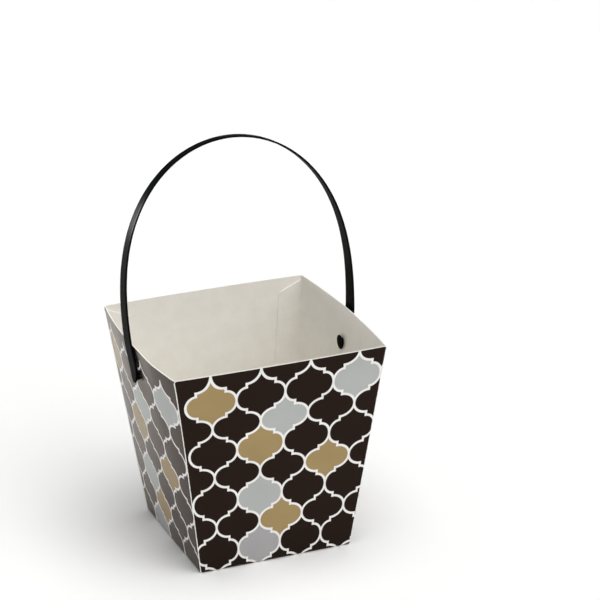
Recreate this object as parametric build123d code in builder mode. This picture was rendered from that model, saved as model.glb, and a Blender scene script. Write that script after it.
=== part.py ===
from build123d import *
import math
import os

# Square food pail of folded paperboard with a moulded plastic swing handle.
# The origin is the middle of the underside of the base, +Z is up, and the
# handle arches from the left wall (-X) to the right wall (+X).

# Carton
rim_width = 102
base_width = 75
pail_height = 104
board = 0.5
left_bow = 3.9
right_bow = 2.4
front_bow = 1
back_bow = 1
base_bow_share = 0.05
corner_fold = 0.8
base_fold = 0.6
tab_width = 12
tab_rim_gap = 2
tab_base_gap = 2
tab_end_slope = 5

# Handle
strap_end_width = 9.7
strap_top_width = 4.3
strap_thickness = 0.9
strap_end_fold = 1.2
arch_rise = 105.8
arch_width_shares = (1.009, 0.992, 0.951, 0.868, 0.752, 0.587, 0.36)
arch_height_shares = (0.157, 0.347, 0.482, 0.627, 0.75, 0.862, 0.952)
handle_lean = 7
pivot_drop = 16.5
tail_length = 3
strap_gap = 1.05
rim_gap = 0.15
bend_start = 3
bend_radius = 30
peg_radius = 2
peg_clearance = 0.08
head_radius = 3.4
head_gap = 0.9
head_rim = 0.4
head_dome = 0.7

overrun = 5

pivot_height = pail_height - pivot_drop
pivot = Vector(0, 0, pivot_height)


def half_width(height):
    """Half of the pail's outer width at a height, corner to corner."""
    return (base_width + (rim_width - base_width) * height / pail_height) / 2


def bow_at(rim_bow, height):
    """How far the middle of a wall stands out from its corners at a height."""
    return rim_bow * (base_bow_share + (1 - base_bow_share) * height / pail_height)


def outer_section(height, inset=0):
    """Plan of the pail's outside, with the side walls folded in behind the cut
    edges of the front and back walls. The inset rounds the fold at the base."""
    a = half_width(height) - inset
    wall = a - board
    fold = wall - corner_fold
    turn = corner_fold * math.sqrt(0.5)
    with BuildSketch(Plane.XY.offset(height)) as section:
        with BuildLine():
            ThreePointArc((-a, -a), (0, -a - bow_at(front_bow, height)), (a, -a))
            Polyline((a, -a), (a, -wall), (a - corner_fold, -wall))
            ThreePointArc(
                (a - corner_fold, -wall),
                (a - corner_fold + turn, -fold - turn),
                (a, -fold),
            )
            ThreePointArc((a, -fold), (a + bow_at(right_bow, height), 0), (a, fold))
            ThreePointArc(
                (a, fold),
                (a - corner_fold + turn, fold + turn),
                (a - corner_fold, wall),
            )
            Polyline((a - corner_fold, wall), (a, wall), (a, a))
            ThreePointArc((a, a), (0, a + bow_at(back_bow, height)), (-a, a))
            Polyline((-a, a), (-a, wall), (-a + corner_fold, wall))
            ThreePointArc(
                (-a + corner_fold, wall),
                (-a + corner_fold - turn, fold + turn),
                (-a, fold),
            )
            ThreePointArc((-a, fold), (-a - bow_at(left_bow, height), 0), (-a, -fold))
            ThreePointArc(
                (-a, -fold),
                (-a + corner_fold - turn, -fold - turn),
                (-a + corner_fold, -wall),
            )
            Polyline((-a + corner_fold, -wall), (-a, -wall), (-a, -a))
        make_face()
    return section.sketch


def inner_section(height, side_inset, end_inset):
    """Plan of the hollow, inset from the outside by its own amount behind the
    side walls and behind the front and back walls."""
    x = half_width(height) - side_inset
    y = half_width(height) - end_inset
    with BuildSketch(Plane.XY.offset(height)) as section:
        with BuildLine():
            ThreePointArc((-x, -y), (0, -y - bow_at(front_bow, height)), (x, -y))
            ThreePointArc((x, -y), (x + bow_at(right_bow, height), 0), (x, y))
            ThreePointArc((x, y), (0, y + bow_at(back_bow, height)), (-x, y))
            ThreePointArc((-x, y), (-x - bow_at(left_bow, height), 0), (-x, -y))
        make_face()
    return section.sketch


# Hollow between the side walls and the glue tabs
top = pail_height + overrun
with BuildPart() as hollow:
    loft([inner_section(h, board, 2 * board) for h in (board, top)], ruled=True)

# Bare board of the front and back walls, between the glue tabs and past their ends
tab_low = board + tab_base_gap
tab_high = pail_height - tab_rim_gap
with BuildPart() as between_tabs:
    loft([inner_section(h, board + corner_fold, board) for h in (board, top)], ruled=True)
    with BuildSketch(Plane.XZ):
        with BuildLine():
            low_edge = [
                (half_width(0), 0),
                (half_width(tab_low), tab_low),
                (half_width(tab_low) - tab_width, tab_low + tab_end_slope),
            ]
            high_edge = [
                (half_width(tab_high) - tab_width, tab_high - tab_end_slope),
                (half_width(tab_high), tab_high),
                (half_width(top), top),
            ]
            right_edge = low_edge + high_edge
            left_edge = [(-x, z) for x, z in reversed(right_edge)]
            Polyline(*right_edge, *left_edge, close=True)
        make_face()
    extrude(amount=rim_width, both=True, mode=Mode.INTERSECT)

# Carton: one folded and glued blank
with BuildPart() as carton:
    base_turns = [math.radians(angle) for angle in (0, 30, 60, 90)]
    rounded_fold = [
        outer_section(base_fold * (1 - math.cos(turn)), base_fold * (1 - math.sin(turn)))
        for turn in base_turns
    ]
    loft([*rounded_fold, outer_section(pail_height)], ruled=True)
    add(hollow.part, mode=Mode.SUBTRACT)
    add(between_tabs.part, mode=Mode.SUBTRACT)
    with BuildSketch(Plane.YZ):
        with Locations((0, pivot_height)):
            Circle(peg_radius + peg_clearance)
    extrude(amount=rim_width, both=True, mode=Mode.SUBTRACT)

carton.part.label = "carton"

# Handle: a moulded strap that narrows to its top, with a peg and a button head
# at each end
strap_half = strap_thickness / 2
wall_at_pivot = {
    -1: half_width(pivot_height) + bow_at(left_bow, pivot_height),
    1: half_width(pivot_height) + bow_at(right_bow, pivot_height),
}
end_x = max(wall_at_pivot.values()) + strap_gap + strap_half
rim_x = half_width(pail_height) + max(left_bow, right_bow) + rim_gap + strap_half
dome_radius = (head_radius**2 + head_dome**2) / (2 * head_dome)
lean = math.radians(handle_lean)
handle_plane = Plane(
    origin=pivot,
    x_dir=(1, 0, 0),
    z_dir=(0, -math.cos(lean), math.sin(lean)),
)
side_plane = Plane(origin=pivot, x_dir=handle_plane.z_dir, z_dir=(-1, 0, 0))

# Middle line of the strap's left half: along the wall to the rim, then the arch
leg = [(-end_x, -tail_length), (-end_x, bend_start), (-rim_x, pivot_drop)]
leg_direction = (end_x - rim_x, pivot_drop - bend_start)
half_arch = [(-rim_x, pivot_drop)]
for width_share, height_share in zip(arch_width_shares, arch_height_shares):
    height = pivot_drop + height_share * (arch_rise - pivot_drop)
    half_arch.append((-width_share * rim_x, height))
half_arch.append((0, arch_rise))


def strap_width(height):
    """Width of the strap at a height above the pegs."""
    return strap_end_width + (strap_top_width - strap_end_width) * height / arch_rise


with BuildPart() as handle:
    with BuildSketch(handle_plane):
        with BuildLine():
            FilletPolyline(*leg, radius=bend_radius)
            Spline(*half_arch, tangents=[leg_direction, (1, 0)])
            mirror(about=Plane.YZ)
        trace(line_width=strap_thickness)
    extrude(amount=strap_width(-tail_length), both=True)
    with BuildSketch(side_plane):
        strap_low = strap_width(-tail_length) / 2
        strap_high = strap_width(arch_rise + overrun) / 2
        with BuildLine():
            Polyline(
                (-strap_low, -tail_length),
                (strap_low, -tail_length),
                (strap_high, arch_rise + overrun),
                (-strap_high, arch_rise + overrun),
                close=True,
            )
        make_face()
    extrude(amount=rim_width, both=True, mode=Mode.INTERSECT)
    end_corners = handle.edges().filter_by(Axis.X).group_by(Axis.Z)[0:2]
    fillet([edge for group in end_corners for edge in group], strap_end_fold)
    for side, wall_x in wall_at_pivot.items():
        head_x = wall_x - board - head_gap
        tip_x = head_x - head_rim - head_dome
        with BuildSketch(Plane.XZ):
            with BuildLine():
                head_edge = Polyline(
                    (side * tip_x, pivot_height),
                    (side * end_x, pivot_height),
                    (side * end_x, pivot_height + peg_radius),
                    (side * head_x, pivot_height + peg_radius),
                    (side * head_x, pivot_height + head_radius),
                    (side * (head_x - head_rim), pivot_height + head_radius),
                )
                RadiusArc(head_edge @ 1, head_edge @ 0, -side * dome_radius)
            make_face()
        revolve(axis=Axis(pivot, (1, 0, 0)))

handle.part.label = "handle"

os.makedirs("parts", exist_ok=True)
export_step(carton.part, "parts/carton.step")
export_step(handle.part, "parts/handle.step")
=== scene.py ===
import math

import bmesh
import bpy
from mathutils import Matrix, Vector


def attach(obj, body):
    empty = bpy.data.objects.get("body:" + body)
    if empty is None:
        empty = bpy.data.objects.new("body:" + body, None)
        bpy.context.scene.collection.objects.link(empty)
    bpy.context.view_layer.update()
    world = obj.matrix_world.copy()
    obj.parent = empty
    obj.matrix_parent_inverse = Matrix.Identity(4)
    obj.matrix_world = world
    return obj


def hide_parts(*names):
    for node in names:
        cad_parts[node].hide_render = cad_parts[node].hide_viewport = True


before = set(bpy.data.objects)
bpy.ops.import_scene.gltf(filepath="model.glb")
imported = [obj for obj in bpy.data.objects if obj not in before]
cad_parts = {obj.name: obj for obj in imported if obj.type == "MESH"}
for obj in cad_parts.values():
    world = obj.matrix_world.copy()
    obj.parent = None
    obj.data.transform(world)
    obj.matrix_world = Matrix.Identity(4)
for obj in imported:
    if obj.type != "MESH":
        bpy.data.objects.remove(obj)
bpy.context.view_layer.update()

# Front and back walls: one blank of folding boxboard, die-cut to a taper and bowed a
# little. Their cut edges show at the pail's corners, because they are glued over the
# tabs of the side walls, and their top corners are nipped round by the die.
MM = 0.001
rim_width = 102 * MM
base_width = 75 * MM
pail_height = 104 * MM
board = 0.5 * MM
rim_bow = {"left": 3.9 * MM, "right": 2.4 * MM, "front": 1 * MM, "back": 1 * MM}
base_bow_share = 0.05
base_fold = 1.2 * MM
nipped_corner = 1.3 * MM
pulled_corner = 1.1 * MM
slant = math.hypot(pail_height, (rim_width - base_width) / 2)
# Print on a wall: column pitch, left end of the first column, how much it narrows
# to the base and about which place, depth of the first row, and pitch of two rows
end_print = (24.11 * MM, -34.9 * MM, 0.162, 2.53 * MM, -0.32 * MM, 27.22 * MM)
# The front print sits askew at its upper left: by how much, and over which depths
print_skew = 3.2 * MM
skew_start = 7 * MM
skew_depth = 55 * MM

# Printed board: white-lined folding boxboard, offset printed with a trellis of
# ogee cells and dispersion varnished. The ink lies flat under an even, slightly
# rolled gloss, and the lining shows white where the die crushed its edges.
trellis_line = 1.2 * MM
trellis_column = 24.1 * MM
trellis_row_pair = 27.2 * MM
notch_share = 0.21
lobe_share = 0.216
first_column_edge = -0.5
crushed_edge = 0.3 * MM
bronzing = 0.38
varnish_grain = 0.5 * MM
ink_drift = 18 * MM
die_rag = 0.9 * MM
rag_depth = 0.35 * MM
ink, gold, silver, darker_lowest_silver, lining = "#231914", "#A08A60", "#B0B2B0", "#A6A4A5", "#EBE9E6"
# Cells in coloured ink: column and row of each, counted from the first gold one
coloured_cells = {
    (0, 1): gold,
    (3, 1): silver,
    (1.5, 2): silver,
    (1, 3): gold,
    (2.5, 4): gold,
    (1, 5): silver,
    (1.5, 6): gold,
    # The silver cell nearest the base is coloured a darker grey than the other silver cells
    (1, 7): darker_lowest_silver,
}
cell_count = 128


def add(material, kind, inputs=None, **settings):
    """Adds one node to a material, with its inputs linked or set, and returns it."""
    node = material.node_tree.nodes.new(kind)
    for name, value in settings.items():
        setattr(node, name, value)
    for name, value in (inputs or {}).items():
        if isinstance(value, bpy.types.NodeSocket):
            material.node_tree.links.new(value, node.inputs[name])
        else:
            node.inputs[name].default_value = value
    return node


def hex_colour(code):
    """Linear colour of an sRGB hex code."""
    channels = [int(code[i : i + 2], 16) / 255 for i in (1, 3, 5)]
    linear = [c / 12.92 if c <= 0.04045 else ((c + 0.055) / 1.055) ** 2.4 for c in channels]
    return (*linear, 1)


def cell_number(column, row):
    """One number below 1 for a cell of the trellis."""
    return (12 * row + 2 * column + 3) / cell_count


printed = bpy.data.materials.new("printed_boxboard")
printed.use_nodes = True
varnish = printed.node_tree.nodes["Principled BSDF"]


def work(operation, *values):
    """Adds one step of arithmetic to the printed board and returns its result."""
    return add(printed, "ShaderNodeMath", dict(enumerate(values)), operation=operation).outputs[0]


def choose(switch, if_not, if_so):
    """Picks one of two values in the printed board."""
    return add(printed, "ShaderNodeMix", {"Factor": switch, 2: if_not, 3: if_so}).outputs[0]


# Place in the trellis: one unit of U is a column of cells, one of V is two rows
trellis_map = add(printed, "ShaderNodeUVMap", uv_map="trellis")
trellis_place = add(printed, "ShaderNodeSeparateXYZ", {0: trellis_map.outputs[0]})
across_cells, down_cells = trellis_place.outputs[0], trellis_place.outputs[1]
shifted = work("SUBTRACT", across_cells, 0.5)
folded_x = work("PINGPONG", shifted, 0.5)
in_margin = work("LESS_THAN", across_cells, first_column_edge)
x = work("MULTIPLY", folded_x, work("MULTIPLY_ADD", in_margin, -2, 1))
y = work("PINGPONG", down_cells, 0.5)

# Each cell's side is two quarter ellipses, joined by a short upright notch
at_lobe = work("GREATER_THAN", x, notch_share)
half_length = work("MULTIPLY_ADD", at_lobe, 0.5 - 2 * notch_share, notch_share)
lobe_y = choose(at_lobe, work("SUBTRACT", 0.5, y), y)
from_notch = work("SUBTRACT", x, notch_share)
ellipse = add(
    printed,
    "ShaderNodeCombineXYZ",
    {0: work("DIVIDE", from_notch, half_length), 1: work("DIVIDE", lobe_y, lobe_share)},
).outputs[0]
half_axes = add(
    printed,
    "ShaderNodeCombineXYZ",
    {0: work("MULTIPLY", half_length, trellis_column), 1: lobe_share * trellis_row_pair, 2: 1},
).outputs[0]
slope = add(printed, "ShaderNodeVectorMath", {0: ellipse, 1: half_axes}, operation="DIVIDE")
steepness = add(printed, "ShaderNodeVectorMath", {0: slope.outputs[0]}, operation="LENGTH")
reach = add(printed, "ShaderNodeVectorMath", {0: ellipse, 1: ellipse}, operation="DOT_PRODUCT")
beyond = work("SUBTRACT", reach.outputs["Value"], 1)
arc_distance = work(
    "DIVIDE", work("ABSOLUTE", beyond), work("MULTIPLY", steepness.outputs["Value"], 2)
)
notch_across = work("MULTIPLY", work("ABSOLUTE", from_notch), trellis_column)
notch_along = work(
    "MULTIPLY",
    work("SUBTRACT", work("ABSOLUTE", work("SUBTRACT", y, 0.25)), 0.25 - lobe_share),
    trellis_row_pair,
)
notch_distance = work("MAXIMUM", notch_across, notch_along)
line = add(
    printed,
    "ShaderNodeMapRange",
    {
        "Value": work("MINIMUM", arc_distance, notch_distance),
        "From Min": 0.45 * trellis_line,
        "From Max": 0.55 * trellis_line,
        "To Min": 1.0,
        "To Max": 0.0,
    },
).outputs[0]
drawn_columns = work("GREATER_THAN", across_cells, first_column_edge - 0.05)
drawn_rows = work("GREATER_THAN", down_cells, -0.02)
line = work("MULTIPLY", line, work("MULTIPLY", drawn_columns, drawn_rows))

# Which cell a point is in, and its ink
even_cell = work("COMPARE", work("LESS_THAN", beyond, 0), at_lobe, 0.5)
column = choose(
    even_cell,
    work("ADD", work("FLOOR", shifted), 1),
    work("ADD", work("ROUND", shifted), 0.5),
)
row = choose(
    even_cell,
    work("MULTIPLY_ADD", work("FLOOR", down_cells), 2, 1),
    work("MULTIPLY", work("ROUND", down_cells), 2),
)
number = work(
    "DIVIDE",
    work("ADD", work("MULTIPLY", row, 12), work("MULTIPLY_ADD", column, 2, 3)),
    cell_count,
)
cell_ink = add(printed, "ShaderNodeValToRGB", {0: number})
inks = cell_ink.color_ramp
inks.interpolation = "CONSTANT"
inks.elements.remove(inks.elements[1])
inks.elements[0].position = 0
inks.elements[0].color = hex_colour(ink)
for (cell_column, cell_row), code in coloured_cells.items():
    middle = cell_number(cell_column, cell_row)
    inks.elements.new(middle - 0.5 / cell_count).color = hex_colour(code)
    inks.elements.new(middle + 0.5 / cell_count).color = hex_colour(ink)

# Dense black ink bronzes: its gloss is tinted like that of a weak metal
ink_red = add(printed, "ShaderNodeSeparateColor", {0: cell_ink.outputs[0]}).outputs[0]
black_cell = work("LESS_THAN", ink_red, 0.1)
bronzed = work("MULTIPLY", work("MULTIPLY", black_cell, work("SUBTRACT", 1, line)), bronzing)

# Ink density drifts a little over the sheet
object_place = add(printed, "ShaderNodeTexCoord").outputs["Object"]
drift = add(
    printed, "ShaderNodeTexNoise", {"Vector": object_place, "Scale": 1 / ink_drift, "Detail": 3}
).outputs[0]
drift_value = add(
    printed,
    "ShaderNodeMapRange",
    {"Value": drift, "From Min": 0.3, "From Max": 0.7, "To Min": 0.96, "To Max": 1.04},
).outputs[0]
inked = add(
    printed,
    "ShaderNodeMix",
    {"Factor": line, 6: cell_ink.outputs[0], 7: hex_colour(lining)},
    data_type="RGBA",
).outputs[2]
drifted = add(
    printed, "ShaderNodeVectorMath", {0: inked, "Scale": drift_value}, operation="SCALE"
).outputs[0]

# White lining along the cut edges, ragged by the die
edge_map = add(printed, "ShaderNodeUVMap", uv_map="edge_distance")
edge_place = add(printed, "ShaderNodeSeparateXYZ", {0: edge_map.outputs[0]})
nearest_edge = work("MINIMUM", edge_place.outputs[0], edge_place.outputs[1])
rag = add(
    printed, "ShaderNodeTexNoise", {"Vector": object_place, "Scale": 1 / die_rag, "Detail": 2}
).outputs[0]
ragged = work("MULTIPLY_ADD", rag, rag_depth, nearest_edge)
crushed = add(
    printed,
    "ShaderNodeMapRange",
    {
        "Value": ragged,
        "From Min": crushed_edge + 0.1 * MM,
        "From Max": crushed_edge + 0.25 * MM,
        "To Min": 1.0,
        "To Max": 0.0,
    },
).outputs[0]
face_colour = add(
    printed,
    "ShaderNodeMix",
    {"Factor": crushed, 6: drifted, 7: hex_colour(lining)},
    data_type="RGBA",
).outputs[2]
roll = add(
    printed,
    "ShaderNodeTexNoise",
    {"Vector": object_place, "Scale": 1 / varnish_grain, "Detail": 2, "Roughness": 0.4},
).outputs[0]
face_roughness = add(
    printed,
    "ShaderNodeMapRange",
    {"Value": drift, "From Min": 0.3, "From Max": 0.7, "To Min": 0.2, "To Max": 0.27},
).outputs[0]
varnish_bump = add(
    printed, "ShaderNodeBump", {"Height": roll, "Strength": 0.25, "Distance": 0.01 * MM}
).outputs[0]
printed.node_tree.links.new(face_colour, varnish.inputs["Base Color"])
printed.node_tree.links.new(face_roughness, varnish.inputs["Roughness"])
printed.node_tree.links.new(varnish_bump, varnish.inputs["Normal"])
bare_of_edge = work("MULTIPLY", bronzed, work("SUBTRACT", 1, crushed))
printed.node_tree.links.new(bare_of_edge, varnish.inputs["Metallic"])
varnish.inputs["Specular Tint"].default_value = hex_colour("#FFF3E9")
varnish.inputs["IOR"].default_value = 1.165

# Bare inside of the board: uncoated white pulp, pressed smooth but not shiny, faintly
# mottled, with short fibres that show as a fine grain.
pulp_mottle = 7 * MM
fibre_length = 0.7 * MM
bare = bpy.data.materials.new("uncoated_boxboard")
bare.use_nodes = True
pulp = bare.node_tree.nodes["Principled BSDF"]
object_place = add(bare, "ShaderNodeTexCoord").outputs["Object"]
mottle = add(
    bare, "ShaderNodeTexNoise", {"Vector": object_place, "Scale": 1 / pulp_mottle, "Detail": 5}
).outputs[0]
fibres = add(
    bare,
    "ShaderNodeTexNoise",
    {"Vector": object_place, "Scale": 1 / fibre_length, "Detail": 3, "Distortion": 1.5},
).outputs[0]
grain = add(bare, "ShaderNodeMix", {"Factor": 0.45, 2: mottle, 3: fibres}).outputs[0]
pulp_tone = add(bare, "ShaderNodeValToRGB", {0: grain})
pulp_tone.color_ramp.elements[0].position = 0.3
pulp_tone.color_ramp.elements[0].color = hex_colour("#E7E3DA")
pulp_tone.color_ramp.elements[1].position = 0.7
pulp_tone.color_ramp.elements[1].color = hex_colour("#F1EEE7")
pulp_bump = add(bare, "ShaderNodeBump", {"Height": fibres, "Strength": 0.4, "Distance": 0.03 * MM})
bare.node_tree.links.new(pulp_tone.outputs[0], pulp.inputs["Base Color"])
bare.node_tree.links.new(pulp_bump.outputs[0], pulp.inputs["Normal"])
pulp.inputs["Roughness"].default_value = 0.6

# Die-cut edge of the board: white pulp in thin layers, slightly fluffy.
fluff_grain = 0.4 * MM
cut = bpy.data.materials.new("cut_boxboard_edge")
cut.use_nodes = True
core = cut.node_tree.nodes["Principled BSDF"]
object_place = add(cut, "ShaderNodeTexCoord").outputs["Object"]
fluff = add(
    cut, "ShaderNodeTexNoise", {"Vector": object_place, "Scale": 1 / fluff_grain, "Detail": 3}
).outputs[0]
core_tone = add(cut, "ShaderNodeValToRGB", {0: fluff})
core_tone.color_ramp.elements[0].position = 0.25
core_tone.color_ramp.elements[0].color = hex_colour("#E4E0D8")
core_tone.color_ramp.elements[1].position = 0.6
core_tone.color_ramp.elements[1].color = hex_colour("#F6F4EF")
cut.node_tree.links.new(core_tone.outputs[0], core.inputs["Base Color"])
core.inputs["Roughness"].default_value = 0.9


def half_width(height):
    """Half of the pail's outer width at a height, corner to corner."""
    return (base_width + (rim_width - base_width) * height / pail_height) / 2


def bow_at(wall, height):
    """How far the middle of a wall stands out from its corners at a height."""
    return rim_bow[wall] * (base_bow_share + (1 - base_bow_share) * height / pail_height)


def pull_at(wall, share, height):
    """How far the front left corner is pulled out to the left at a place."""
    toward = {"front": (max(0, -share)) ** 6, "left": smooth_step((share - 0.1) / 0.5)}
    return pulled_corner * (height / pail_height) ** 3 * toward.get(wall, 0)


def smooth_step(value):
    """Eases from 0 to 1."""
    value = min(1, max(0, value))
    return value * value * (3 - 2 * value)


def place_in_trellis(print_setting, along, below_rim):
    """Column and row pair of a place on a wall, seen from outside."""
    pitch, first, narrowing, middle, top, row_pair = print_setting
    spread = (along - middle) / (1 - narrowing * below_rim / slant)
    return (spread + middle - first) / pitch, (below_rim - top) / row_pair


def board_piece(name, columns, rows, outside, inside, trellis, edge_distance):
    """A piece of board from a flat grid, laid on its outer face, grown inward by
    its thickness and laid on its inner face. Each rule takes a column and a row."""
    mesh = bmesh.new()
    bmesh.ops.create_grid(
        mesh, x_segments=len(columns) - 1, y_segments=len(rows) - 1, size=0.5
    )
    outer_faces = mesh.faces[:]
    outer_verts = mesh.verts[:]
    grown = bmesh.ops.extrude_face_region(mesh, geom=outer_faces, use_keep_orig=True)["geom"]
    inner_verts = [item for item in grown if isinstance(item, bmesh.types.BMVert)]
    inner_faces = [item for item in grown if isinstance(item, bmesh.types.BMFace)]
    stops = {}
    for vert in mesh.verts:
        column = columns[round((vert.co.x + 0.5) * (len(columns) - 1))]
        row = rows[round((vert.co.y + 0.5) * (len(rows) - 1))]
        stops[vert] = (column, row)
    trellis_layer = mesh.loops.layers.uv.new("trellis")
    edge_layer = mesh.loops.layers.uv.new("edge_distance")
    for face in mesh.faces:
        face.material_index = 2
        face.smooth = True
    for face in outer_faces:
        face.material_index = 0
        for loop in face.loops:
            loop[trellis_layer].uv = trellis(*stops[loop.vert])
            loop[edge_layer].uv = edge_distance(*stops[loop.vert])
    for face in inner_faces:
        face.material_index = 1
    for verts, rule in ((outer_verts, outside), (inner_verts, inside)):
        for vert in verts:
            vert.co = rule(*stops[vert])
    bmesh.ops.recalc_face_normals(mesh, faces=mesh.faces[:])
    for edge in mesh.edges:
        kinds = {face.material_index for face in edge.link_faces}
        edge.smooth = len(kinds) == 1
    data = bpy.data.meshes.new(name)
    mesh.to_mesh(data)
    mesh.free()
    for material in (printed, bare, cut):
        data.materials.append(material)
    piece = bpy.data.objects.new(name, data)
    bpy.context.scene.collection.objects.link(piece)
    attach(piece, "pail")
    return piece


# Rows round the fold at the base and up the wall: height, and inset at the fold
fold_rows = []
for step in range(8):
    turn = math.radians(90 * step / 7)
    fold_rows.append((base_fold * (1 - math.cos(turn)), base_fold * (1 - math.sin(turn))))
wall_rows = fold_rows + [
    (base_fold + (pail_height - nipped_corner - base_fold) * step / 40, 0)
    for step in range(1, 41)
]
wall_rows += [
    (pail_height - nipped_corner * (1 - step / 4), 0) for step in range(1, 5)
]
# Columns across a wall as shares of its half width, closer together at its ends
end_shares = [1 - distance * MM / (base_width / 2) for distance in (0, 0.08, 0.3, 0.8, 1.5)]
middle_shares = [-0.9 + 1.8 * step / 30 for step in range(31)]
wall_columns = [-share for share in end_shares] + middle_shares + end_shares[::-1]


def end_wall(name, away):
    """The front wall (away -1) or the back wall (away 1)."""
    wall = "front" if away < 0 else "back"

    def along(share, height, inset):
        return (half_width(height) - inset) * share

    def dip(share, height, inset):
        # Corners nipped round at the rim
        gap = (1 - abs(share)) * half_width(height)
        short = max(0, 1 - gap / nipped_corner)
        drop = nipped_corner * (1 - math.sqrt(1 - short * short))
        near_rim = max(0, 1 - (pail_height - height) / (3 * nipped_corner))
        return height - drop * near_rim

    def outside(share, row):
        height, inset = row
        reach_out = half_width(height) - inset
        stand = reach_out + bow_at(wall, height) * (1 - share * share)
        pull = pull_at(wall, share, height)
        return (-away * reach_out * share - pull, away * stand, dip(share, height, inset))

    def inside(share, row):
        height, inset = row
        reach_out = half_width(height) - inset
        stand = reach_out - board + bow_at(wall, height) * (1 - share * share)
        return (
            -away * reach_out * share - pull_at(wall, share, height),
            away * stand,
            max(board, dip(share, height, inset)),
        )

    def trellis(share, row):
        height, inset = row
        below_rim = (pail_height - height) * slant / pail_height
        askew = print_skew * ((1 - share) / 2) ** 1.5 * max(0, 1 - below_rim / skew_depth)
        askew *= min(1, below_rim / skew_start)
        column, row_pair = place_in_trellis(
            end_print, along(share, height, inset), below_rim - askew
        )
        return column, max(0, row_pair)

    def edge_distance(share, row):
        height, inset = row
        return ((1 - abs(share)) * half_width(height), 1.7 * (pail_height - height))

    return board_piece(name, wall_columns, wall_rows, outside, inside, trellis, edge_distance)


front_wall = end_wall("front_wall", -1)
back_wall = end_wall("back_wall", 1)

# Side walls. The same board, bowed more by the pull of the handle, and folded in
# behind the front and back walls at a scored corner. Each has a round hole for
# the handle's peg.
corner_fold = 0.8 * MM
pivot_height = 87.5 * MM
peg_hole = 2.08 * MM
side_print = (25.44 * MM, -42.06 * MM, 0.213, 2.53 * MM, 5.97 * MM, 26.98 * MM)
front_stretch = 2 / 1000 / MM
front_stretch_start = 20 * MM
no_cut_edge = 10 * MM
fold_turns = [math.radians(90 * step / 5) for step in range(6)]
side_columns = [(-1, turn) for turn in fold_turns[::-1]]
side_columns += [(-1 + 2 * step / 40, None) for step in range(1, 40)]
side_columns += [(1, turn) for turn in fold_turns]


def side_wall(name, away):
    """The left wall (away -1) or the right wall (away 1)."""
    wall = "left" if away < 0 else "right"

    def profile(column, row, depth):
        share, turn = column
        height, inset = row
        reach_out = half_width(height) - inset
        fold_start = reach_out - board - corner_fold
        pull = pull_at(wall, -away * share, height) if wall == "left" else 0
        if turn is None:
            bow = bow_at(wall, height) * (1 - share * share)
            return fold_start * share, reach_out - depth + bow + pull
        bend = corner_fold - depth
        along = share * (fold_start + bend * math.sin(turn))
        return along, reach_out - corner_fold + bend * math.cos(turn) + pull

    def outside(column, row):
        along, stand = profile(column, row, 0)
        return (away * stand, away * along, row[0])

    def inside(column, row):
        along, stand = profile(column, row, board)
        return (away * stand, away * along, max(board, row[0]))

    def trellis(column, row):
        share, turn = column
        height, inset = row
        fold_start = half_width(height) - inset - board - corner_fold
        past_fold = 0 if turn is None else corner_fold * turn
        below_rim = (pail_height - height) * slant / pail_height
        along = share * (fold_start + past_fold)
        to_front = max(0, -away * share) * (fold_start + past_fold) - front_stretch_start
        along += away * front_stretch * max(0, to_front) ** 2
        return place_in_trellis(side_print, along, below_rim)

    def edge_distance(column, row):
        return (no_cut_edge, pail_height - row[0])

    piece = board_piece(name, side_columns, wall_rows, outside, inside, trellis, edge_distance)
    drill = bmesh.new()
    bmesh.ops.create_cone(
        drill,
        cap_ends=True,
        segments=48,
        radius1=peg_hole,
        radius2=peg_hole,
        depth=30 * MM,
        matrix=Matrix.Translation((away * rim_width / 2, 0, pivot_height))
        @ Matrix.Rotation(math.radians(90), 4, "Y"),
    )
    drill_data = bpy.data.meshes.new("drill")
    drill.to_mesh(drill_data)
    drill.free()
    drill_data.materials.append(cut)
    drill_object = bpy.data.objects.new("drill", drill_data)
    bpy.context.scene.collection.objects.link(drill_object)
    hole = piece.modifiers.new("peg_hole", "BOOLEAN")
    hole.object = drill_object
    hole.solver = "EXACT"
    hole.material_mode = "TRANSFER"
    cut_through = bpy.data.meshes.new_from_object(
        piece.evaluated_get(bpy.context.evaluated_depsgraph_get())
    )
    piece.modifiers.clear()
    piece.data = cut_through
    piece.data.name = name
    bpy.data.objects.remove(drill_object)
    return piece


left_wall = side_wall("left_wall", -1)
right_wall = side_wall("right_wall", 1)

# Glue tabs. Narrow flaps of the side walls, folded and glued flat behind the
# front and back walls, with slanted ends. Inside the pail they show as a step.
tab_width = 12 * MM
tab_gap = 2 * MM
tab_slope = 5 * MM
unprinted = (-3, 0)


def glue_tab(name, away, side):
    """The tab behind one wall (away -1 front, 1 back) at one side (-1 left, 1 right)."""
    wall = "front" if away < 0 else "back"

    def spot(inward, rise, depth):
        low = board + tab_gap + tab_slope * inward
        high = pail_height - tab_gap - tab_slope * inward
        height = low + (high - low) * rise
        reach_out = half_width(height)
        across = reach_out - corner_fold + (corner_fold - tab_width) * inward
        share = across / reach_out
        stand = reach_out - board - depth + bow_at(wall, height) * (1 - share * share)
        return (side * across, away * stand, height)

    return board_piece(
        name,
        [step / 8 for step in range(9)],
        [step / 40 for step in range(41)],
        lambda inward, rise: spot(inward, rise, 0),
        lambda inward, rise: spot(inward, rise, board),
        lambda inward, rise: unprinted,
        lambda inward, rise: (no_cut_edge, no_cut_edge),
    )


glue_tab("glue_tab_front_left", -1, -1)
glue_tab("glue_tab_front_right", -1, 1)
glue_tab("glue_tab_back_left", 1, -1)
glue_tab("glue_tab_back_right", 1, 1)

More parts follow.
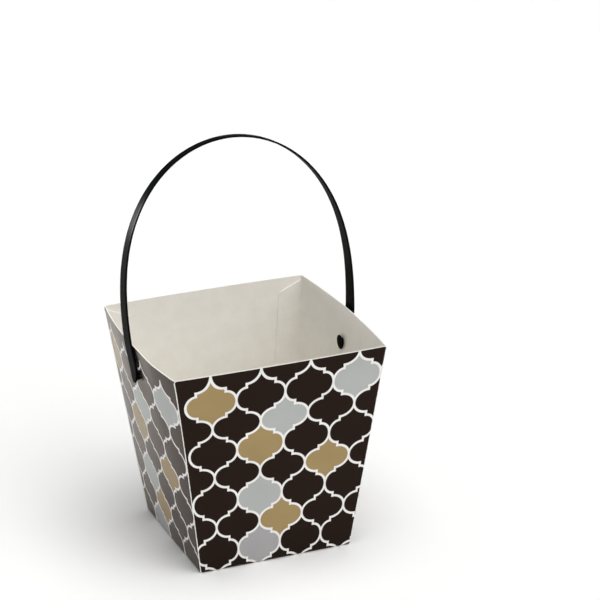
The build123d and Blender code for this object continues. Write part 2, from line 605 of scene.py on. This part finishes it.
# Base. The middle of the blank, from which all four walls are folded up. The
# print runs on over its underside. Inside, the walls' folds lie just over it.
base_half = base_width / 2 - base_fold
base_drop = 0.02 * MM
base_shares = [-1 + 2 * step / 24 for step in range(25)]
base_panel = board_piece(
    "base_panel",
    base_shares,
    base_shares,
    lambda x_share, y_share: (base_half * x_share, base_half * y_share, 0),
    lambda x_share, y_share: (base_half * x_share, base_half * y_share, board - base_drop),
    lambda x_share, y_share: place_in_trellis(
        end_print, base_half * x_share, slant + base_half * (1 + y_share)
    ),
    lambda x_share, y_share: (no_cut_edge, no_cut_edge),
)
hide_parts("carton")

# Handle. One strap of black polypropylene, moulded flat, wide near its tongue-shaped
# ends and narrow at its top, and bent over so that its pegs snap into the side walls.
# Its curvature grows with the height above the pegs, as in any bent strip.
strap_thickness = 0.9 * MM
strap_end_width = 9.7 * MM
strap_top_width = 4.3 * MM
strap_edge = 0.25 * MM
end_taper = 13 * MM
arch_rise = 105.8 * MM
bend_law = 0.19657 / MM / 1000 / MM
unbent_height = 0.56 * MM
lean = math.radians(7)
pivot_drop = 16.5 * MM
tail_length = 3 * MM
bend_start = 3 * MM
bend_softness = 2 * MM
strap_gap = 1.05 * MM
rim_gap = 0.15 * MM
wall_at_pivot = {
    side: half_width(pivot_height) + bow_at(wall, pivot_height)
    for side, wall in ((-1, "left"), (1, "right"))
}
end_x = wall_at_pivot[-1] + strap_gap + strap_thickness / 2
rim_x = half_width(pail_height) + rim_bow["left"] + rim_gap + strap_thickness / 2
leg_slope = (rim_x - end_x) / (pivot_drop - bend_start)

# Middle line of the left half, from the top down to the tail
step = 0.5 * MM
turned = 0
middle_line = [(0, arch_rise)]
while middle_line[-1][1] > pivot_drop + step:
    x_now, z_now = middle_line[-1]
    curvature = bend_law * (z_now - unbent_height)
    halfway = turned + curvature * step / 2
    middle_line.append((x_now - step * math.cos(halfway), z_now - step * math.sin(halfway)))
    turned += curvature * step
drop_steps = round((middle_line[-1][1] + tail_length) / step)
for count in range(1, drop_steps + 1):
    height = middle_line[-1][1] - (middle_line[-1][1] + tail_length) / (drop_steps - count + 1)
    above_bend = height - bend_start
    stand_out = leg_slope * (above_bend + math.hypot(above_bend, bend_softness)) / 2
    middle_line.append((-end_x - stand_out, height))
whole_line = middle_line[::-1] + [(-x_now, z_now) for x_now, z_now in middle_line[1:]]
lengths = [0]
for (x0, z0), (x1, z1) in zip(whole_line, whole_line[1:]):
    lengths.append(lengths[-1] + math.hypot(x1 - x0, z1 - z0))
strap_length = lengths[-1]


def on_line(distance):
    """Place and direction of the middle line at a distance from the left end."""
    low, high = 1, len(lengths) - 1
    while low < high:
        index = (low + high) // 2
        if lengths[index] < distance:
            low = index + 1
        else:
            high = index
    (x0, z0), (x1, z1) = whole_line[low - 1], whole_line[low]
    part = (distance - lengths[low - 1]) / (lengths[low] - lengths[low - 1])
    run = math.hypot(x1 - x0, z1 - z0)
    return (
        x0 + (x1 - x0) * part,
        z0 + (z1 - z0) * part,
        (x1 - x0) / run,
        (z1 - z0) / run,
    )


strap = bmesh.new()
end_length = 12.6 * MM
blunt_tip = 0.1 * MM
end_stops = [end_length * (count / 22) ** 1.8 for count in range(23)]
long_stops = [
    end_length + (strap_length - 2 * end_length) * count / 210 for count in range(1, 210)
]
strap_stops = end_stops + long_stops + [strap_length - stop for stop in end_stops[::-1]]
bmesh.ops.create_grid(strap, x_segments=len(strap_stops) - 1, y_segments=6, size=0.5)
for vert in strap.verts:
    distance = strap_stops[round((vert.co.x + 0.5) * (len(strap_stops) - 1))]
    height = on_line(distance)[1]
    half = (strap_end_width + (strap_top_width - strap_end_width) * height / arch_rise) / 2
    from_end = min(distance, strap_length - distance)
    into_taper = (from_end + blunt_tip) / end_taper
    if into_taper < 1:
        half *= math.sqrt(1 - (1 - into_taper) ** 2)
    vert.co = (distance, 2 * half * vert.co.y, -strap_thickness / 2)
grown = bmesh.ops.extrude_face_region(strap, geom=strap.faces[:], use_keep_orig=True)["geom"]
bmesh.ops.translate(
    strap,
    vec=(0, 0, strap_thickness),
    verts=[item for item in grown if isinstance(item, bmesh.types.BMVert)],
)
bmesh.ops.recalc_face_normals(strap, faces=strap.faces[:])
sharp = [
    edge
    for edge in strap.edges
    if len({abs(face.normal.z) > 0.5 for face in edge.link_faces}) == 2
]
bmesh.ops.bevel(
    strap,
    geom=sharp,
    offset=strap_edge,
    offset_type="OFFSET",
    affect="EDGES",
    segments=3,
    profile=0.5,
    material=-1,
    clamp_overlap=True,
)
upward = Vector((0, math.sin(lean), math.cos(lean)))
forward = Vector((0, -math.cos(lean), math.sin(lean)))
pivot = Vector((0, 0, pivot_height))
for vert in strap.verts:
    distance, across, proud = vert.co
    x_now, z_now, x_way, z_way = on_line(min(max(distance, 0), strap_length))
    x_now += -z_way * proud
    z_now += x_way * proud
    vert.co = pivot + Vector((x_now, 0, 0)) + upward * z_now + forward * across

# Pegs through the walls, with round button heads inside
peg_radius = 2 * MM
head_radius = 3.4 * MM
head_gap = 0.9 * MM
head_rim = 0.4 * MM
head_dome = 0.7 * MM
neck_fillet = 0.15 * MM
head_chamfer = 0.1 * MM
for side, wall_x in wall_at_pivot.items():
    head_x = wall_x - board - head_gap
    dome_radius = (head_radius**2 + head_dome**2) / (2 * head_dome)
    outline = [
        (end_x, peg_radius),
        (head_x + neck_fillet, peg_radius),
        (head_x, peg_radius + neck_fillet),
        (head_x, head_radius - head_chamfer),
        (head_x - head_chamfer, head_radius),
    ]
    for count in range(9):
        out = head_radius * (1 - count / 8)
        sag = dome_radius - math.sqrt(dome_radius**2 - out**2)
        outline.append((head_x - head_rim - head_dome + sag, out))
    verts = [strap.verts.new((side * x_now, 0, pivot_height + out)) for x_now, out in outline]
    edges = [strap.edges.new(pair) for pair in zip(verts, verts[1:])]
    bmesh.ops.spin(
        strap,
        geom=verts + edges,
        cent=pivot,
        axis=(1, 0, 0),
        angle=2 * math.pi,
        steps=48,
        use_merge=True,
    )
bmesh.ops.remove_doubles(strap, verts=strap.verts[:], dist=0.001 * MM)
bmesh.ops.recalc_face_normals(strap, faces=strap.faces[:])
for face in strap.faces:
    face.smooth = True
for edge in strap.edges:
    edge.smooth = not (len(edge.link_faces) == 2 and edge.calc_face_angle(0) > math.radians(40))
strap_data = bpy.data.meshes.new("strap_handle")
strap.to_mesh(strap_data)
strap.free()
handle_strap = bpy.data.objects.new("strap_handle", strap_data)
bpy.context.scene.collection.objects.link(handle_strap)

# Injection-moulded polypropylene, jet black, from a satin mould: a faint skin gloss
# over a black body, with slow waves from cooling and a few hairline rubs.
rub_length = 2.5 * MM
cooling_wave = 9 * MM
plastic = bpy.data.materials.new("moulded_polypropylene")
plastic.use_nodes = True
skin = plastic.node_tree.nodes["Principled BSDF"]
object_place = add(plastic, "ShaderNodeTexCoord").outputs["Object"]
rubs = add(
    plastic,
    "ShaderNodeTexNoise",
    {"Vector": object_place, "Scale": 1 / rub_length, "Detail": 6, "Roughness": 0.7},
).outputs[0]
skin_roughness = add(
    plastic,
    "ShaderNodeMapRange",
    {"Value": rubs, "From Min": 0.3, "From Max": 0.7, "To Min": 0.22, "To Max": 0.29},
).outputs[0]
waves = add(
    plastic, "ShaderNodeTexNoise", {"Vector": object_place, "Scale": 1 / cooling_wave, "Detail": 1}
).outputs[0]
skin_bump = add(
    plastic, "ShaderNodeBump", {"Height": waves, "Strength": 0.3, "Distance": 0.05 * MM}
).outputs[0]
plastic.node_tree.links.new(skin_roughness, skin.inputs["Roughness"])
plastic.node_tree.links.new(skin_bump, skin.inputs["Normal"])
skin.inputs["Base Color"].default_value = hex_colour("#0A0A0A")
skin.inputs["IOR"].default_value = 1.01
skin.inputs["Coat Weight"].default_value = 0.08
skin.inputs["Coat IOR"].default_value = 1.46
skin.inputs["Coat Roughness"].default_value = 0.24
strap_data.materials.append(plastic)
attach(handle_strap, "handle")
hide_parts("handle")

# Floor: one wide sheet of matt white studio paper, 12 m across, so that its end stays
# out of sight in the photograph's view.
floor_reach = 6
paper = bpy.data.materials.new("white_studio_paper")
paper.use_nodes = True
sheet_face = paper.node_tree.nodes["Principled BSDF"]
sheet_face.inputs["Base Color"].default_value = hex_colour("#FBFBFA")
sheet_face.inputs["Roughness"].default_value = 0.7
floor_mesh = bmesh.new()
bmesh.ops.create_grid(floor_mesh, x_segments=1, y_segments=1, size=floor_reach)
floor_data = bpy.data.meshes.new("floor")
floor_mesh.to_mesh(floor_data)
floor_mesh.free()
floor_data.materials.append(paper)
floor = bpy.data.objects.new("floor", floor_data)
bpy.context.scene.collection.objects.link(floor)

# Light: an even white room, a broad skylight from above and one from the front right,
# and a low softbox behind at the left, which shows only in gloss, not in diffuse light.
room_light = 0.35
world = bpy.data.worlds.new("studio")
bpy.context.scene.world = world
world.use_nodes = True
room = world.node_tree.nodes["Background"]
room.inputs["Color"].default_value = hex_colour("#FFFFFF")
seen = add(world, "ShaderNodeLightPath").outputs["Is Camera Ray"]
glow = add(world, "ShaderNodeMapRange", {"Value": seen, "To Min": room_light}).outputs[0]
world.node_tree.links.new(glow, room.inputs["Strength"])


def softbox(name, place, aim, width, height, watts):
    """A rectangular area light that faces its aim point."""
    data = bpy.data.lights.new(name, "AREA")
    data.shape = "RECTANGLE"
    data.size = width
    data.size_y = height
    data.energy = watts
    lamp = bpy.data.objects.new(name, data)
    bpy.context.scene.collection.objects.link(lamp)
    lamp.location = place
    lamp.rotation_euler = (Vector(aim) - Vector(place)).to_track_quat("-Z", "Y").to_euler()
    lamp.visible_camera = False
    lamp.visible_diffuse = False


def skylight(name, place, softness, strength):
    """A broad distant light from the side of a place."""
    data = bpy.data.lights.new(name, "SUN")
    data.angle = math.radians(softness)
    data.energy = strength
    lamp = bpy.data.objects.new(name, data)
    bpy.context.scene.collection.objects.link(lamp)
    lamp.rotation_euler = Vector(place).to_track_quat("Z", "Y").to_euler()


skylight("top", (0.15, -0.5, 3), 50, 1.85)
skylight("front", (0.6, -1.3, 1.0), 50, 0.88)
softbox("low_back", (-1.0, 1.75, 0.3), (0, 0, 0.15), 0.3, 0.45, 27)

# Camera at the photograph's angle, from the front left and above. Its place, turn and
# lens come from a fit to the pail's corners and to the printed cells.
view_azimuth = math.radians(-21.9)
view_elevation = math.radians(21.06)
view_roll = math.radians(-0.89)
view_distance = 1.25
lens_mm = 158.42
sensor_mm = 36
aim_right = 26.1 * MM
aim_up = 62.2 * MM
aim_height = 50 * MM
backward = Vector(
    (
        math.sin(view_azimuth) * math.cos(view_elevation),
        -math.cos(view_azimuth) * math.cos(view_elevation),
        math.sin(view_elevation),
    )
)
level = Vector((0, 0, 1)).cross(backward).normalized()
upright = backward.cross(level)
right = math.cos(view_roll) * level + math.sin(view_roll) * upright
up = math.cos(view_roll) * upright - math.sin(view_roll) * level
camera_data = bpy.data.cameras.new("camera")
camera_data.sensor_width = sensor_mm
camera_data.lens = lens_mm
camera = bpy.data.objects.new("camera", camera_data)
bpy.context.scene.collection.objects.link(camera)
eye = Vector((0, 0, aim_height)) + aim_right * right + aim_up * up + view_distance * backward
camera.matrix_world = Matrix.Translation(eye) @ Matrix((right, up, backward)).transposed().to_4x4()
bpy.context.scene.camera = camera
bpy.context.scene.view_settings.view_transform = "Standard"
